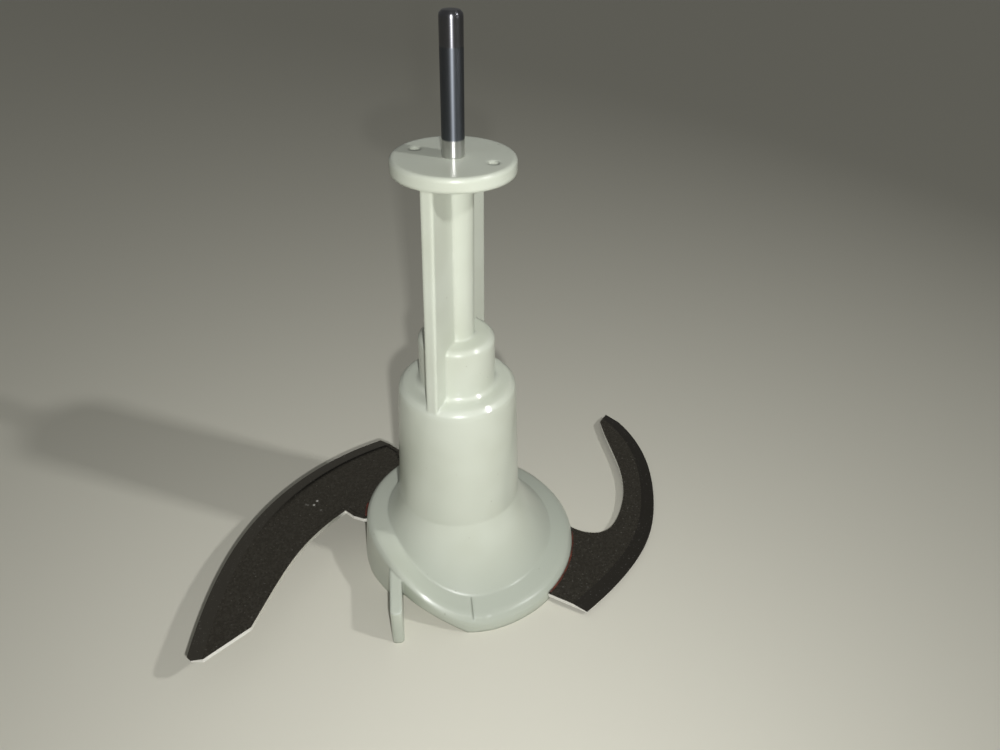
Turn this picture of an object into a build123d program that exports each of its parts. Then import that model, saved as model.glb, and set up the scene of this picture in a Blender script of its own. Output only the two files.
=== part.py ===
"""Chopping blade of a food processor: a moulded hub with two knives and a steel pin set in it."""
from build123d import *
import math
import os

# Frame: the drive axis is Z, the part stands on Z = 0, and the front is -Y.

# Centring pin
pin_radius = 2.5
pin_free_length = 28.9
pin_tail_radius = 2.1
pin_tail_length = 24.0
pin_tip_round = 1.2

# Top disc
disc_radius = 14.0
disc_thickness = 3.2
disc_top_height = 120.4
disc_edge_round = 0.9
dimple_radius = 1.3
dimple_depth = 0.4
dimple_reach = 9.6
dimple_angle = 156.0

# Stem with its two ribs
stem_radius = 4.5
rib_thickness = 3.0
rib_angle = 248.3
rib_foot_reach = 15.0
rib_head_reach = 13.6
rib_edge_round = 0.5

# Stepped hub
step_radius = 9.8
step_top_height = 75.2
step_edge_round = 2.0
step_foot_round = 1.5
hub_shoulder_radius = 15.4
hub_foot_radius = 17.2
hub_top_height = 61.0
hub_edge_round = 2.4

# Flare between the hub and its flange
flare_top_height = 23.5
flare_bend_radius = 19.2
flare_bend_height = 15.6
flare_foot_radius = 27.5
flare_foot_height = 6.2

# Flange, low around the lower knife
low_foot_radius = 34.7
low_rim_radius = 34.5
low_rim_height = 4.0
low_inner_radius = flare_foot_radius
low_inner_height = flare_foot_height
low_rim_round = 2.6

# Collar, the flange where it is lifted round the upper knife
high_foot_radius = 28.6
high_rim_radius = 27.4
high_rim_height = 13.9
high_inner_radius = 20.8
high_inner_height = 14.6
high_rim_round = 2.0

# Directions, in degrees from +X, where the flange climbs to the collar and back
back_climb_start = 58.0
back_climb_end = 128.0
front_fall_start = 205.0
front_fall_end = 288.0
front_foot_start = 222.0
front_lip_start = 206.0
front_rim_start = 236.0
ramp_sections = 9

# Clearance cut under the front ramp: how far it reaches along X, and its height there
relief_start = 4.0
relief_middle = (-5.0, 4.4)
relief_end = (-15.5, 6.6)
relief_inner_radius = 26.5

# Fin on the front of the collar
fin_thickness = 3.2
fin_edge_round = 1.2
fin_foot = (-14.3, -37.8)
fin_direction = 278.0
fin_length = 22.0
fin_tip_height = 11.6
fin_root_height = 12.8
fin_lean = 0.5

# Hollow drive socket
mouth_radius = 13.0
mouth_depth = 15.0
socket_radius = 12.4
socket_depth = 56.0
drive_across_flats = 11.0
drive_depth = 13.0

# Cored pockets under the flange, clear of the knives
core_wall = 3.0
core_rim_radius = 25.0
core_rim_height = 4.4
core_waist_radius = 18.2
core_waist_height = 12.0
core_top_height = 17.0
core_sectors = ((28.0, 86.0), (206.0, 100.0))

# Mould seam across the front of the flange
seam_angle = 279.6
seam_width = 0.35
seam_depth = 0.35

# Knives
knife_thickness = 1.2
lower_knife_height = 2.5
upper_knife_height = 12.3
bevel_width = 4.2
edge_thickness = 0.3

full_turn = 360

os.makedirs("parts", exist_ok=True)

rib_head_height = disc_top_height - disc_thickness
rib_foot_height = hub_top_height - hub_edge_round
sleeve_radius = socket_radius + core_wall
low_sweep = back_climb_start - front_fall_end + full_turn


def ease(angle, start, end):
    """Share of the way from start to end, level at both ends."""
    share = min(max((angle - start) / (end - start), 0.0), 1.0)
    return share * share * (3 - 2 * share)


def blend(low_value, high_value, lift):
    return low_value + (high_value - low_value) * lift


def flange_lift(angle, fall_start):
    """How far the flange is lifted at this direction: 0 on the low side, 1 on the collar."""
    if angle < back_climb_end:
        return ease(angle, back_climb_start, back_climb_end)
    return 1 - ease(angle, fall_start, front_fall_end)


def soft_corner(before, corner, after, rounding):
    """Four points that round a corner of a profile, from this far before it to this far after it."""
    turn = Vector(corner)
    start = turn + (Vector(before) - turn).normalized() * rounding
    end = turn + (Vector(after) - turn).normalized() * rounding
    curve = Bezier(start, turn, end, mode=Mode.PRIVATE)
    return [curve @ share for share in (0, 0.3, 0.7, 1)]


def radial_plane(angle):
    """Upright plane through the axis, with its x pointing outwards and its y up."""
    turn = math.radians(angle)
    outwards = (math.cos(turn), math.sin(turn), 0)
    sideways = (math.sin(turn), -math.cos(turn), 0)
    return Plane(origin=(0, 0, 0), x_dir=outwards, z_dir=sideways)


def flange_section(angle):
    """Section of the flange at one direction, from the socket's sleeve to the rounded rim."""
    foot_lift = flange_lift(angle, front_foot_start)
    lip_lift = flange_lift(angle, front_lip_start)
    rim_lift = flange_lift(angle, front_rim_start)
    inner_lift = flange_lift(angle, front_fall_start)
    foot = Vector(blend(low_foot_radius, high_foot_radius, foot_lift), 0)
    rim = Vector(
        blend(low_rim_radius, high_rim_radius, lip_lift),
        blend(low_rim_height, high_rim_height, rim_lift),
    )
    inner = Vector(
        blend(low_inner_radius, high_inner_radius, inner_lift),
        blend(low_inner_height, high_inner_height, inner_lift),
    )
    rounding = blend(low_rim_round, high_rim_round, rim_lift)
    soft_rim = soft_corner(foot, rim, inner, rounding)
    with BuildSketch(radial_plane(angle)) as section:
        with BuildLine():
            Polyline((sleeve_radius, 0), foot, *soft_rim, inner, (sleeve_radius, inner.Y), close=True)
        make_face()
    return section.sketch


def is_rib_edge(edge):
    """True for the long outer edges of the ribs, which lean in towards the disc."""
    reach = math.hypot(edge.center().X, edge.center().Y)
    is_long = edge.length > step_top_height - hub_top_height
    return edge.geom_type == GeomType.LINE and is_long and reach > step_radius


def is_upright(edge):
    """True for an edge that runs mostly along Z."""
    return abs(edge.tangent_at(0).Z) > math.cos(math.radians(45))


def even_steps(start, end):
    """Directions of the sections along a ramp."""
    return [start + (end - start) * index / (ramp_sections - 1) for index in range(ramp_sections)]


def knife_outline(edge, tip, back, heel, height):
    """Closed plan of a knife: curved cutting edge, tip, hollow back, and a tang inside the flange."""
    with BuildSketch(Plane.XY.offset(height - knife_thickness)) as plan:
        with BuildLine():
            Spline(*edge)
            Polyline(edge[-1], *tip, back[0])
            Spline(*back)
            Polyline(back[-1], *heel, edge[0])
        make_face()
    return plan.sketch


# Steel pin: its shoulder sits on the disc, its thinner tail is moulded into the stem
pin_shoulder = (pin_radius, disc_top_height)
pin_corner = (pin_radius, disc_top_height + pin_free_length)
pin_tip = (0, disc_top_height + pin_free_length)
pin_tail_height = disc_top_height - pin_tail_length
with BuildPart() as centre_pin:
    with BuildSketch(Plane.XZ):
        with BuildLine():
            Polyline(
                (0, pin_tail_height),
                (pin_tail_radius, pin_tail_height),
                (pin_tail_radius, disc_top_height),
                pin_shoulder,
                *soft_corner(pin_shoulder, pin_corner, pin_tip, pin_tip_round),
                pin_tip,
                close=True,
            )
        make_face()
    revolve(axis=Axis.Z)
centre_pin.part.label = "centre_pin"
export_step(centre_pin.part, "parts/centre_pin.step")

# Lower knife: a narrow sickle that sweeps back on the right
lower_edge = [(37.0, -27.6), (50.0, -13.4), (58.5, 1.1), (62.4, 17.2), (62.0, 39.8), (55.4, 56.6)]
lower_tip = [(51.2, 60.5)]
lower_back = [(48.4, 55.3), (49.8, 45.9), (52.9, 27.0), (49.7, 8.5), (44.4, 1.7), (37.2, 1.7), (34.0, 3.7)]
lower_heel = [(18.0, 6.0), (18.0, -12.0), (26.3, -22.3)]
with BuildPart() as lower_knife:
    add(knife_outline(lower_edge, lower_tip, lower_back, lower_heel, lower_knife_height))
    extrude(amount=knife_thickness)
    cutting_edge = lower_knife.edges().group_by(Axis.Z)[-1].sort_by(Edge.length)[-1]
    chamfer(cutting_edge, knife_thickness - edge_thickness, bevel_width)
lower_knife.part.label = "lower_knife"
export_step(lower_knife.part, "parts/lower_knife.step")

# Upper knife: broad, with a blunt cut tip, on the left
upper_edge = [(-28.3, 31.9), (-41.3, 22.3), (-54.1, 6.7), (-61.9, -11.8), (-64.6, -30.1), (-64.1, -51.1)]
upper_tip = [(-62.7, -52.2), (-59.6, -52.1)]
upper_back = [(-50.5, -42.7), (-48.0, -31.2), (-43.4, -16.1), (-36.4, -4.5), (-33.9, -1.5)]
upper_heel = [(-31.1, -3.6), (-28.0, -4.6), (-18.0, -4.0), (-16.0, 14.0), (-21.3, 26.3)]
with BuildPart() as upper_knife:
    add(knife_outline(upper_edge, upper_tip, upper_back, upper_heel, upper_knife_height))
    extrude(amount=knife_thickness)
    cutting_edge = upper_knife.edges().group_by(Axis.Z)[-1].sort_by(Edge.length)[-1]
    chamfer(cutting_edge, knife_thickness - edge_thickness, bevel_width)
upper_knife.part.label = "upper_knife"
export_step(upper_knife.part, "parts/upper_knife.step")

# Fin that stands out from the collar towards the front, down to the table
fin_plane = radial_plane(fin_direction)
fin_plane.origin = (fin_foot[0], fin_foot[1], 0)
with BuildPart() as fin:
    with BuildSketch(fin_plane):
        with BuildLine():
            Polyline(
                (0, 0),
                (-fin_lean, fin_tip_height),
                (-fin_length, fin_root_height),
                (-fin_length, 0),
                close=True,
            )
        make_face()
    extrude(amount=fin_thickness / 2, both=True)
    nose = fin.faces().sort_by(Axis.Y)[0]
    fillet(nose.edges().filter_by(is_upright), fin_edge_round)

# Space under the front ramp, outside the cored pockets
with BuildPart() as ramp_relief:
    with BuildSketch(Plane.XZ):
        with BuildLine():
            ThreePointArc((relief_start, 0), relief_middle, relief_end)
            Polyline(relief_end, (relief_end[0], 0), (relief_start, 0))
        make_face()
    extrude(amount=low_foot_radius + fin_length)
    Cylinder(relief_inner_radius, disc_top_height, mode=Mode.SUBTRACT)

# Hub: one moulding from the flange up to the disc, first its turned profile
disc_middle = (0, disc_top_height)
disc_edge = (disc_radius, disc_top_height)
disc_foot = (disc_radius, rib_head_height)
stem_foot = (stem_radius, step_top_height)
step_edge = (step_radius, step_top_height)
step_foot = (step_radius, hub_top_height)
hub_edge = (hub_shoulder_radius, hub_top_height)
hub_foot = (hub_foot_radius, flare_top_height)
flare_bend = (flare_bend_radius, flare_bend_height)
flare_foot = (flare_foot_radius, flare_foot_height)
with BuildPart() as hub:
    with BuildSketch(Plane.XZ):
        with BuildLine():
            Polyline(
                disc_middle,
                *soft_corner(disc_middle, disc_edge, disc_foot, disc_edge_round),
                disc_foot,
                (stem_radius, rib_head_height),
                stem_foot,
                *soft_corner(stem_foot, step_edge, step_foot, step_edge_round),
                *soft_corner(step_edge, step_foot, hub_edge, step_foot_round),
                *soft_corner(step_foot, hub_edge, hub_foot, hub_edge_round),
                hub_foot,
            )
            Bezier(hub_foot, flare_bend, flare_foot)
            Polyline(flare_foot, (hub_foot_radius, 0), (0, 0), disc_middle)
        make_face()
    revolve(axis=Axis.Z)

    # Two ribs from the shoulder of the hub up to the disc
    for angle in (rib_angle, rib_angle - 180):
        with BuildSketch(radial_plane(angle)):
            with BuildLine():
                Polyline(
                    (0, rib_foot_height),
                    (rib_foot_reach, rib_foot_height),
                    (rib_head_reach, rib_head_height),
                    (0, rib_head_height),
                    close=True,
                )
            make_face()
        extrude(amount=rib_thickness / 2, both=True)
    fillet(hub.edges().filter_by(is_rib_edge), rib_edge_round)

    # Low flange, collar, and the ramps between them
    add(flange_section(front_fall_end - full_turn))
    revolve(axis=Axis.Z, revolution_arc=low_sweep)
    add(flange_section(back_climb_end))
    revolve(axis=Axis.Z, revolution_arc=front_fall_start - back_climb_end)
    loft([flange_section(angle).face() for angle in even_steps(back_climb_start, back_climb_end)])
    loft([flange_section(angle).face() for angle in even_steps(front_fall_start, front_fall_end)])

    # The front ramp clears the table, and the fin stands under its high end
    add(ramp_relief.part, mode=Mode.SUBTRACT)
    add(fin.part)

    # Mould seam across the flange at the front
    with BuildSketch(radial_plane(seam_angle)):
        with BuildLine():
            Polyline(
                (low_inner_radius, low_inner_height - seam_depth),
                (low_rim_radius, low_rim_height - seam_depth),
                (low_rim_radius, high_rim_height),
                (low_inner_radius, high_rim_height),
                close=True,
            )
        make_face()
    extrude(amount=seam_width / 2, both=True, mode=Mode.SUBTRACT)

    # Two ejector dimples in the disc
    with BuildSketch(Plane.XY.offset(disc_top_height)):
        with PolarLocations(dimple_reach, 2, dimple_angle):
            Circle(dimple_radius)
    extrude(amount=-dimple_depth, mode=Mode.SUBTRACT)

    # Hollow below: a wider mouth, a round socket for the bowl's column, and a hexagon that takes the drive
    with BuildSketch(Plane.XY):
        Circle(mouth_radius)
    extrude(amount=mouth_depth, mode=Mode.SUBTRACT)
    with BuildSketch(Plane.XY):
        Circle(socket_radius)
    extrude(amount=socket_depth, mode=Mode.SUBTRACT)
    with BuildSketch(Plane.XY.offset(socket_depth)):
        RegularPolygon(drive_across_flats / 2, 6, major_radius=False)
    extrude(amount=drive_depth, mode=Mode.SUBTRACT)

    # Pockets that keep the walls of the flare even
    for start, sweep in core_sectors:
        with BuildSketch(radial_plane(start)):
            with BuildLine():
                Polyline(
                    (sleeve_radius, 0),
                    (core_rim_radius, 0),
                    (core_rim_radius, core_rim_height),
                    (core_waist_radius, core_waist_height),
                    (sleeve_radius, core_top_height),
                    close=True,
                )
            make_face()
        revolve(axis=Axis.Z, revolution_arc=sweep, mode=Mode.SUBTRACT)

    # Seats moulded round the pin and the two knives
    add(centre_pin.part, mode=Mode.SUBTRACT)
    add(lower_knife.part, mode=Mode.SUBTRACT)
    add(upper_knife.part, mode=Mode.SUBTRACT)
hub.part.label = "hub"
export_step(hub.part, "parts/hub.step")
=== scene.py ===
# %% [markdown]
# # A chopping blade for a food processor
# The object is a pale moulded hub that stands on its flange, with two curved steel knives held in the
# plastic and a polished steel pin on top. Its rigid shapes come from the CAD frame, so this lesson is
# about the rest: the finishes of three materials, the dried juice that has crept along the knives, and a
# simple lit table.

# %% Load the frame
import math
import bpy
from mathutils import Matrix, Vector


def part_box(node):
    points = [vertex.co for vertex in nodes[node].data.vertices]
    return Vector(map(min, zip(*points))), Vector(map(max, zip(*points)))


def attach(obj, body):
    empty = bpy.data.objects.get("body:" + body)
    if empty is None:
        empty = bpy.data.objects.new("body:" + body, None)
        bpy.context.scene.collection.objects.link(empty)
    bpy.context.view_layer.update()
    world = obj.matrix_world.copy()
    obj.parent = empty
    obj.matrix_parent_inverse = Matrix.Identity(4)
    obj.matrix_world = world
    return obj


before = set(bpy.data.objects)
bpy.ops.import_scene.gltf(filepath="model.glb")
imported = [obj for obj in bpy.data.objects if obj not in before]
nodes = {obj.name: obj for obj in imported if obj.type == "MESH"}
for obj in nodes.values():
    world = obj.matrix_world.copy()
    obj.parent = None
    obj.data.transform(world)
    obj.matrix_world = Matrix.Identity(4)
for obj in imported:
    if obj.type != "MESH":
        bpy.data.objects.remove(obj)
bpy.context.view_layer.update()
bpy.ops.object.select_all(action="DESELECT")

# %% [markdown]
# ## Shader maths as expressions
# A finish is a small tree of nodes. Wiring dozens of Math nodes by hand is slow to read, so one class
# holds an output socket, and +, -, * and abs on it add the Math nodes. Its method node makes every other
# kind of node. Two more methods are for masks: ramp climbs from 0 to 1, and band climbs and then falls
# again.


# %% The wire class
class Wire:
    """An output socket of a shader tree that can be used in an expression."""

    def __init__(self, tree, socket=None):
        self.tree = tree
        self.socket = socket

    def node(self, kind, settings=None, inputs=None, output=0):
        """Add a node: its settings first, then the values or wires of its inputs, by name or number."""
        made = self.tree.nodes.new(kind)
        for name, value in (settings or {}).items():
            setattr(made, name, value)
        for name, value in (inputs or {}).items():
            if isinstance(value, Wire):
                self.tree.links.new(value.socket, made.inputs[name])
            else:
                made.inputs[name].default_value = value
        return Wire(self.tree, made.outputs[output])

    def math(self, operation, *values):
        """Add a Math node that works on these values or wires."""
        return self.node("ShaderNodeMath", {"operation": operation}, dict(enumerate(values)))

    def __add__(self, other):
        return self.math("ADD", self, other)

    def __radd__(self, other):
        return self.math("ADD", other, self)

    def __sub__(self, other):
        return self.math("SUBTRACT", self, other)

    def __rsub__(self, other):
        return self.math("SUBTRACT", other, self)

    def __mul__(self, other):
        return self.math("MULTIPLY", self, other)

    def __rmul__(self, other):
        return self.math("MULTIPLY", other, self)

    def __abs__(self):
        return self.math("ABSOLUTE", self)

    def larger(self, other):
        """The larger of two values."""
        return self.math("MAXIMUM", self, other)

    def ramp(self, low, high):
        """0 below low, 1 above high, and a smooth climb between them."""
        limits = {"Value": self, "From Min": low, "From Max": high}
        return self.node("ShaderNodeMapRange", {"interpolation_type": "SMOOTHSTEP"}, limits)

    def band(self, climb, fall):
        """1 between a smooth climb and a smooth fall, each given as its low and high limit."""
        return self.ramp(*climb) - self.ramp(*fall)


print("wires ready")

# %% [markdown]
# ## Starting a finish
# Each finish begins the same way: a new material, its Principled shader, and a wire that reads Object
# coordinates. The parts sit at the origin in metres, so a pattern that is written in metres stays put on
# the part. What changes over the surface reaches the shader by a wire, and what is the same all over is
# simply set on the shader's own socket.


# %% Starting and feeding a shader
def start_finish(name):
    """A new material with its shader and the wire of its coordinates."""
    material = bpy.data.materials.new(name)
    material.use_nodes = True
    tree = material.node_tree
    shader = tree.nodes["Principled BSDF"]
    place = Wire(tree).node("ShaderNodeTexCoord", output="Object")
    return material, shader, place


def feed(shader, name, value):
    """Give one input of a shader a wire, or a value that is the same all over."""
    if isinstance(value, Wire):
        value.tree.links.new(value.socket, shader.inputs[name])
    else:
        shader.inputs[name].default_value = value


def dress(part, material):
    """Give a part this finish alone."""
    part.data.materials.clear()
    part.data.materials.append(material)
    print(part.name, "wears", material.name)


# %% Patterns and normals
# A Mix node has sockets for numbers, vectors and colours, so those for colours are picked by number.
mix_factor, mix_low, mix_high, mix_result = 0, 6, 7, 2
bevel_samples = 8


def mix(mask, low_color, high_color):
    """low_color where the mask is 0, high_color where it is 1."""
    colors = {mix_factor: mask, mix_low: low_color, mix_high: high_color}
    return mask.node("ShaderNodeMix", {"data_type": "RGBA"}, colors, output=mix_result)


def noise(place, per_metre, detail=2.0):
    """Soft noise with this many waves to the metre."""
    return place.node("ShaderNodeTexNoise", None, {"Vector": place, "Scale": per_metre, "Detail": detail})


def axis(vector, letter):
    """The X, Y or Z of a vector."""
    return vector.node("ShaderNodeSeparateXYZ", None, {0: vector}, output=letter)


def near(place, centre, reach):
    """1 at a point, falling to 0 at this reach around it."""
    points = {0: place, 1: centre}
    distance = place.node("ShaderNodeVectorMath", {"operation": "DISTANCE"}, points, output="Value")
    return 1 - distance.ramp(0.0, reach)


def soften(place, radius):
    """The normal of the surface, rounded over its edges by this radius."""
    return place.node("ShaderNodeBevel", {"samples": bevel_samples}, {"Radius": radius})


def bump(pattern, strength, depth, normal):
    """The normal, tilted by a pattern that is this many metres deep."""
    inputs = {"Height": pattern, "Strength": strength, "Distance": depth, "Normal": normal}
    return pattern.node("ShaderNodeBump", None, inputs)


print("helpers ready, with", bevel_samples, "samples for a rounded edge")

# %% [markdown]
# ## The hub's plastic
# Hubs like this are moulded in a pale grey-white plastic with a glossy skin. A plain colour would look
# like paint, so the colour drifts a little over centimetres, and a few fine specks sit in the skin. The
# colour is also painted darker towards the table, as painted shade on the low flange, so it follows the
# height.

# %% Colour of the plastic
plastic_pale = (0.60, 0.635, 0.545, 1)
plastic_shade = (0.54, 0.57, 0.475, 1)
# painted shade: the colour of the low flange near the table
plastic_low_shade = (0.46, 0.495, 0.42, 1)
speck_color = (0.24, 0.23, 0.17, 1)
speck_strength = 0.3
low_shade_heights = (0.004, 0.020)
plastic, shader, place = start_finish("hub_plastic")
drift = noise(place, per_metre=45).ramp(low=0.35, high=0.75)
specks = noise(place, per_metre=1200, detail=0).ramp(low=0.85, high=0.89)
# painted shade: 1 near the table, fading to 0 above the given heights
low_shade = 1 - axis(place, "Z").ramp(*low_shade_heights)
body_color = mix(low_shade, mix(drift, plastic_pale, plastic_shade), plastic_low_shade)
feed(shader, "Base Color", mix(specks * speck_strength, body_color, speck_color))
print("flange colour below", low_shade_heights[0], "m and hub colour above", low_shade_heights[1], "m")

# %% [markdown]
# ## The gloss of the plastic
# A moulding has no sharp edge anywhere. Its edges could be given many more faces, but a Bevel node rounds
# their shading by about a millimetre without any more faces, and that gives the bright lines along the
# rims. The skin under them is a little uneven, which a faint bump shows, and a thin clear coat adds the
# small sharp glints of a skin that was pressed against a polished mould.

# %% Gloss of the plastic
plastic_roughness = 0.27
roughness_drift = 0.05
edge_round = 0.0012
skin_strength = 0.02
skin_depth = 0.001
coat_weight = 0.3
coat_roughness = 0.12
feed(shader, "Roughness", plastic_roughness + noise(place, per_metre=120) * roughness_drift)
feed(shader, "Coat Weight", coat_weight)
feed(shader, "Coat Roughness", coat_roughness)
skin = noise(place, per_metre=220)
feed(shader, "Normal", bump(skin, skin_strength, skin_depth, soften(place, edge_round)))
dress(nodes["hub"], plastic)

# %% [markdown]
# ## The faces of the knives
# The knives are stamped from sheet, ground to a bevel along the outer edge and polished. The flat, the
# bevel and the cut sides each have their own look. They could be given three materials, but the mesh of a
# CAD part stays as it is, so one material tells them apart by how far their surface leans: the Z of the
# Normal is 1 on the flat, a little less on the bevel and 0 on the sides.

# %% Faces of the knives
bevel_to_flat = (0.984, 0.999)
side_to_top = (0.3, 0.6)
between_knives = (-0.005, 0.005)
knife_steel, shader, place = start_finish("knife_steel")
up = axis(place.node("ShaderNodeNewGeometry", output="Normal"), "Z")
is_flat = up.ramp(*bevel_to_flat)
is_cut = 1 - abs(up).ramp(*side_to_top)
along_x = axis(place, "X")
is_lower = along_x.ramp(*between_knives)
print("the lower knife lies beyond x =", between_knives[1])

# %% [markdown]
# ## A painted edge line and marks on the knives
# A dark line is painted along the root of the upper knife's bevel, a painted dark reflection of that
# edge. It is no groove, so a Bevel node softens the lean of the surface next to the root, and the line is
# drawn where the softened lean lies between that of the bevel and that of the flat. It fades towards the
# tip. Fine specks from a noise and a few nicks at chosen places lie on top of it.


# %% Painted edge line and marks on the knives
def top_of(node):
    """The height of the highest point of a CAD part."""
    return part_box(node)[1][2]


edge_line_reach = 0.0026
edge_line_climb = (0.9785, 0.981)
edge_line_fall = (0.9965, 0.9995)
edge_line_fade = (-0.015, 0.012)
# painted dark reflection along the root of the upper knife's bevel, fading towards the tip
bevel_root = axis(soften(place, edge_line_reach), "Z").band(edge_line_climb, edge_line_fall)
painted_edge_line = bevel_root * (1 - is_lower) * axis(place, "Y").ramp(*edge_line_fade)

scratch_strength = 0.25
scratched = noise(place, per_metre=2200, detail=1).ramp(low=0.66, high=0.78) * scratch_strength
bright_nicks = [(-0.0432, 0.0022), (-0.0438, 0.0005)]
faint_nicks = [(-0.0413, -0.0015), (-0.0456, 0.0004), (-0.0462, 0.0006)]
nick_reach = 0.0006
upper_top = top_of("upper_knife")
for nicks, strength in ((bright_nicks, 1.0), (faint_nicks, 0.3)):
    for x, y in nicks:
        scratched = scratched.larger(near(place, (x, y, upper_top), nick_reach) * strength)
print(len(bright_nicks) + len(faint_nicks), "nicks at a height of", upper_top)

# %% [markdown]
# ## The knives' steel
# Polished steel mirrors the dark room above the table, so its own colour only tints that. The bevel of
# the lower knife is painted darker than that of the upper one, as a painted dark reflection. The cut
# sides are bare steel, painted pale as a painted glint where the shear has torn them. Specks and nicks
# are less metallic than the polish around them, so they scatter the light of the lamp and look pale, and
# the cut sides are made less metallic in the same way so that their painted glint shows. The hollow back
# of the upper knife, between tip and heel, gets less of the painted glint than the other sides.

# %% Colours of the knives
steel_flat = (0.150, 0.137, 0.112, 1)
steel_grain = (0.195, 0.179, 0.148, 1)
upper_bevel = (0.175, 0.161, 0.134, 1)
# painted dark reflection: the lower knife's bevel is painted darker than the upper one's
lower_bevel_dark_reflection = (0.095, 0.087, 0.074, 1)
# painted dark reflection: the colour of the line along the bevel's root
bevel_edge_dark_reflection = (0.012, 0.011, 0.009, 1)
# painted glint: the pale colour of the cut sides
cut_side_glint = (0.80, 0.79, 0.74, 1)
steel_scratch = (0.80, 0.78, 0.73, 1)
grain = noise(place, per_metre=1500, detail=3).ramp(low=0.4, high=0.7)
flat_color = mix(grain, steel_flat, steel_grain)
bevel_color = mix(is_lower, upper_bevel, lower_bevel_dark_reflection)
ground_color = mix(painted_edge_line, mix(is_flat, bevel_color, flat_color), bevel_edge_dark_reflection)
worn_color = mix(scratched, ground_color, steel_scratch)
feed(shader, "Base Color", mix(is_cut, worn_color, cut_side_glint))

# %% Polish and painted glints of the knives
tip_to_back = (-0.052, -0.049)
back_to_heel = (-0.036, -0.034)
glint_strength = 0.8
back_glint_drop = 0.6
steel_roughness = 0.27
grain_roughness = 0.04
bevel_roughness = 0.06
# painted glint on the cut sides, weaker along the hollow back of the upper knife
back_with_less_glint = along_x.band(tip_to_back, back_to_heel)
torn_edge_glint = is_cut * (glint_strength - back_with_less_glint * back_glint_drop)
feed(shader, "Metallic", 1 - torn_edge_glint.larger(scratched))
feed(shader, "Roughness", steel_roughness + grain * grain_roughness + (1 - is_flat) * bevel_roughness)
for knife in ("lower_knife", "upper_knife"):
    dress(nodes[knife], knife_steel)

# %% [markdown]
# ## The pin's steel
# The pin is a ground rod, so nearly all of its look is reflection: a bright line from the lamp at the
# front, dark sides, and the pale disc mirrored in its foot. The bearing has run the top smooth, the foot
# has kept its first polish, and its pale colour is a painted reflection of the disc. The shaft between
# them is duller. Heights that are measured from the pin's end and from the disc tell these zones apart.

# %% Colour of the pin
shaft_color = (0.125, 0.135, 0.152, 1)
run_color = (0.18, 0.18, 0.195, 1)
# painted reflection: the pale disc mirrored in the pin's foot
foot_disc_reflection = (0.64, 0.64, 0.62, 1)
run_length = 0.0069
foot_length = 0.0035
zone_blend = 0.0005
pin_steel, shader, place = start_finish("pin_steel")
height = axis(place, "Z")
run_start = top_of("centre_pin") - run_length
foot_end = top_of("hub") + foot_length
run_zone = height.ramp(run_start, run_start + zone_blend)
foot_zone = 1 - height.ramp(foot_end, foot_end + zone_blend)
feed(shader, "Base Color", mix(foot_zone, mix(run_zone, shaft_color, run_color), foot_disc_reflection))
print("shaft between", foot_end, "and", run_start)

# %% [markdown]
# ## The polish of the pin
# Grinding has left fine rings round the rod, which draw the lamp out into an upright line. Most of them
# are too fine to model, so the shader is anisotropic, turned by a quarter so that it blurs along the
# axis, and a faint bump follows a noise that is squeezed along the axis alone.

# %% Polish of the pin
ring_squeeze = (30, 30, 5000)
ring_strength = 0.4
ring_depth = 0.00002
tip_round = 0.0006
shaft_roughness = 0.45
zone_polish = 0.15
ring_roughness = 0.04
streak = 0.7
quarter_turn = 0.25
squeezed = place.node("ShaderNodeMapping", None, {"Vector": place, "Scale": ring_squeeze})
rings = noise(squeezed, per_metre=1.0, detail=1)
feed(shader, "Metallic", 1.0)
feed(shader, "Anisotropic", streak)
feed(shader, "Anisotropic Rotation", quarter_turn)
feed(shader, "Roughness", shaft_roughness - (foot_zone + run_zone) * zone_polish + rings * ring_roughness)
feed(shader, "Normal", bump(rings, ring_strength, ring_depth, soften(place, tip_round)))
dress(nodes["centre_pin"], pin_steel)

# %% [markdown]
# ## Dried juice along the knives
# A thin brown-red line has dried where each knife comes out of the plastic. It could be painted on the
# steel, but it stands up a little, so each line is a bead: a small ring of vertices is placed at one end
# of the seam and spun round the drive axis, then roughened by moving its vertices at random.

# %% Colour of the dried juice
juice_red = (0.16, 0.035, 0.02, 1)
juice_dark = (0.05, 0.018, 0.012, 1)
juice_roughness = 0.35
juice, shader, place = start_finish("dried_juice")
blotches = noise(place, per_metre=400, detail=3).ramp(low=0.3, high=0.7)
feed(shader, "Base Color", mix(blotches, juice_red, juice_dark))
feed(shader, "Roughness", juice_roughness)

# %% Beads of dried juice
ring_points = 8
step_degrees = 1.5
same_point = 1e-6
lumpiness = 0.18
lump_seed = 4


def juice_bead(name, seam_radius, seam_height, start, end, thickness):
    """A bead round the drive axis, from one direction to another in degrees."""
    turn = math.radians(start)
    spot = (seam_radius * math.cos(turn), seam_radius * math.sin(turn), seam_height)
    upright = (math.pi / 2, 0, turn)
    bpy.ops.object.select_all(action="DESELECT")
    bpy.ops.mesh.primitive_circle_add(
        vertices=ring_points, radius=thickness / 2, location=spot, rotation=upright, fill_type="NGON")
    bead = bpy.context.object
    bead.name = name
    bpy.ops.object.transform_apply(location=True, rotation=True, scale=True)
    bpy.ops.object.mode_set(mode="EDIT")
    bpy.ops.mesh.select_all(action="SELECT")
    steps = int((end - start) / step_degrees)
    bpy.ops.mesh.spin(steps=steps, angle=math.radians(end - start), center=(0, 0, 0), axis=(0, 0, -1))
    bpy.ops.mesh.select_all(action="SELECT")
    bpy.ops.mesh.remove_doubles(threshold=same_point)
    bpy.ops.transform.vertex_random(offset=thickness * lumpiness, seed=lump_seed)
    bpy.ops.mesh.normals_make_consistent(inside=False)
    bpy.ops.object.mode_set(mode="OBJECT")
    bpy.ops.object.shade_smooth()
    dress(bead, juice)
    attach(bead, "root")
    print(name, "has", len(bead.data.vertices), "points")


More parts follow.
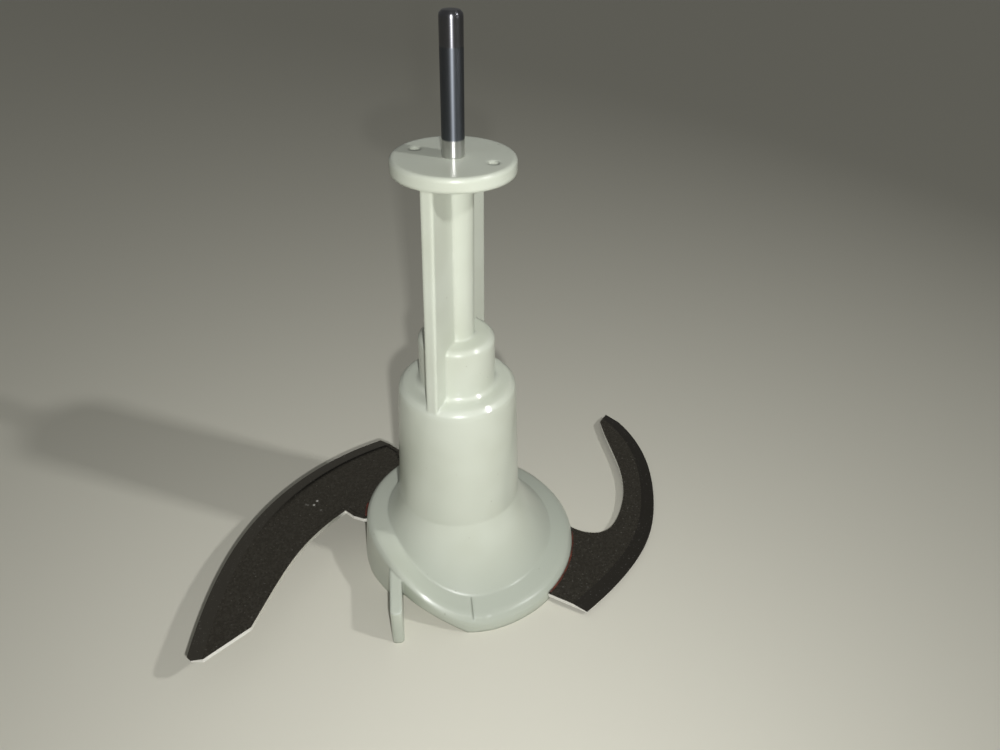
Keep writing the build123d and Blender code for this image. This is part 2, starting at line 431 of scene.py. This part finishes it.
lower_seam_radius = 0.0346
upper_seam_radius = 0.0278
lower_top = top_of("lower_knife")
juice_bead("lower_juice_line", lower_seam_radius, lower_top, start=-39, end=2, thickness=0.0005)
juice_bead("upper_juice_line", upper_seam_radius, upper_top, start=176, end=187, thickness=0.0006)

# %% [markdown]
# ## The table
# The part stands on a plain pale table, a single large square, because a backdrop would only draw the eye
# away. It belongs to the stage and not to the part.

# %% Table
table_size = 6
table_color = (0.65, 0.635, 0.545, 1)
table_roughness = 0.7
bpy.ops.object.select_all(action="DESELECT")
bpy.ops.mesh.primitive_plane_add(size=table_size)
table = bpy.context.object
table.name = "table"
paper, shader, _ = start_finish("table_paper")
feed(shader, "Base Color", table_color)
feed(shader, "Roughness", table_roughness)
dress(table, paper)

# %% [markdown]
# ## Light
# A small lamp beside the camera gives the bright front, the line on the pin and the short shadow behind.
# A second lamp far to the right throws the long soft shadow to the left. Its cone is narrow, so that the
# light falls off towards the back of the table. The world stays dim, so that the polished steel has
# something dark to mirror.


# %% Lamps
def table_lamp(name, location, target, size, watts, spread):
    """A square lamp that looks at a point and lights a cone of this many degrees."""
    bpy.ops.object.light_add(type="AREA", location=location)
    lamp = bpy.context.object
    lamp.name = name
    lamp.data.size = size
    lamp.data.energy = watts
    lamp.data.spread = math.radians(spread)
    lamp.rotation_euler = (Vector(target) - Vector(location)).to_track_quat("-Z", "Y").to_euler()
    print(name, "of", watts, "W")


front_place = (0.0195, -0.167, 0.1675)
front_target = (0, 0.02, 0.03)
right_place = (0.572, -0.188, 0.60)
right_target = (-0.08, 0.03, 0)
table_lamp("front_lamp", front_place, front_target, size=0.005, watts=0.315, spread=180)
table_lamp("right_lamp", right_place, right_target, size=0.04, watts=0.20, spread=60)

# %% World
room_color = (0.155, 0.155, 0.149, 1)
world = bpy.data.worlds.new("dim_room")
bpy.context.scene.world = world
world.use_nodes = True
feed(world.node_tree.nodes["Background"], "Color", room_color)
print("room colour", room_color)

# %% [markdown]
# ## Camera
# The picture is taken from in front and above: the lens looks along +Y, tipped down by about 36 degrees,
# and the camera is rolled by a little over one degree. A camera can be aimed at a point by a constraint,
# but a constraint keeps it level, so its two turns are set as angles here. A camera that isn't turned
# looks straight down, so the first angle counts from there.

# %% Camera
camera_place = (0.0112, -0.1595, 0.1763)
camera_tip = 54.443
camera_roll = 1.329
sensor_width = 36
focal_length = 27
nearest_seen = 0.005
bpy.ops.object.camera_add(location=camera_place)
camera = bpy.context.object
camera.data.sensor_width = sensor_width
camera.data.lens = focal_length
camera.data.clip_start = nearest_seen
tip = Matrix.Rotation(math.radians(camera_tip), 4, "X")
roll = Matrix.Rotation(math.radians(camera_roll), 4, "Z")
camera.rotation_euler = (tip @ roll).to_euler()
bpy.context.scene.camera = camera
bpy.context.scene.view_settings.view_transform = "Standard"
print("camera at", camera_place)
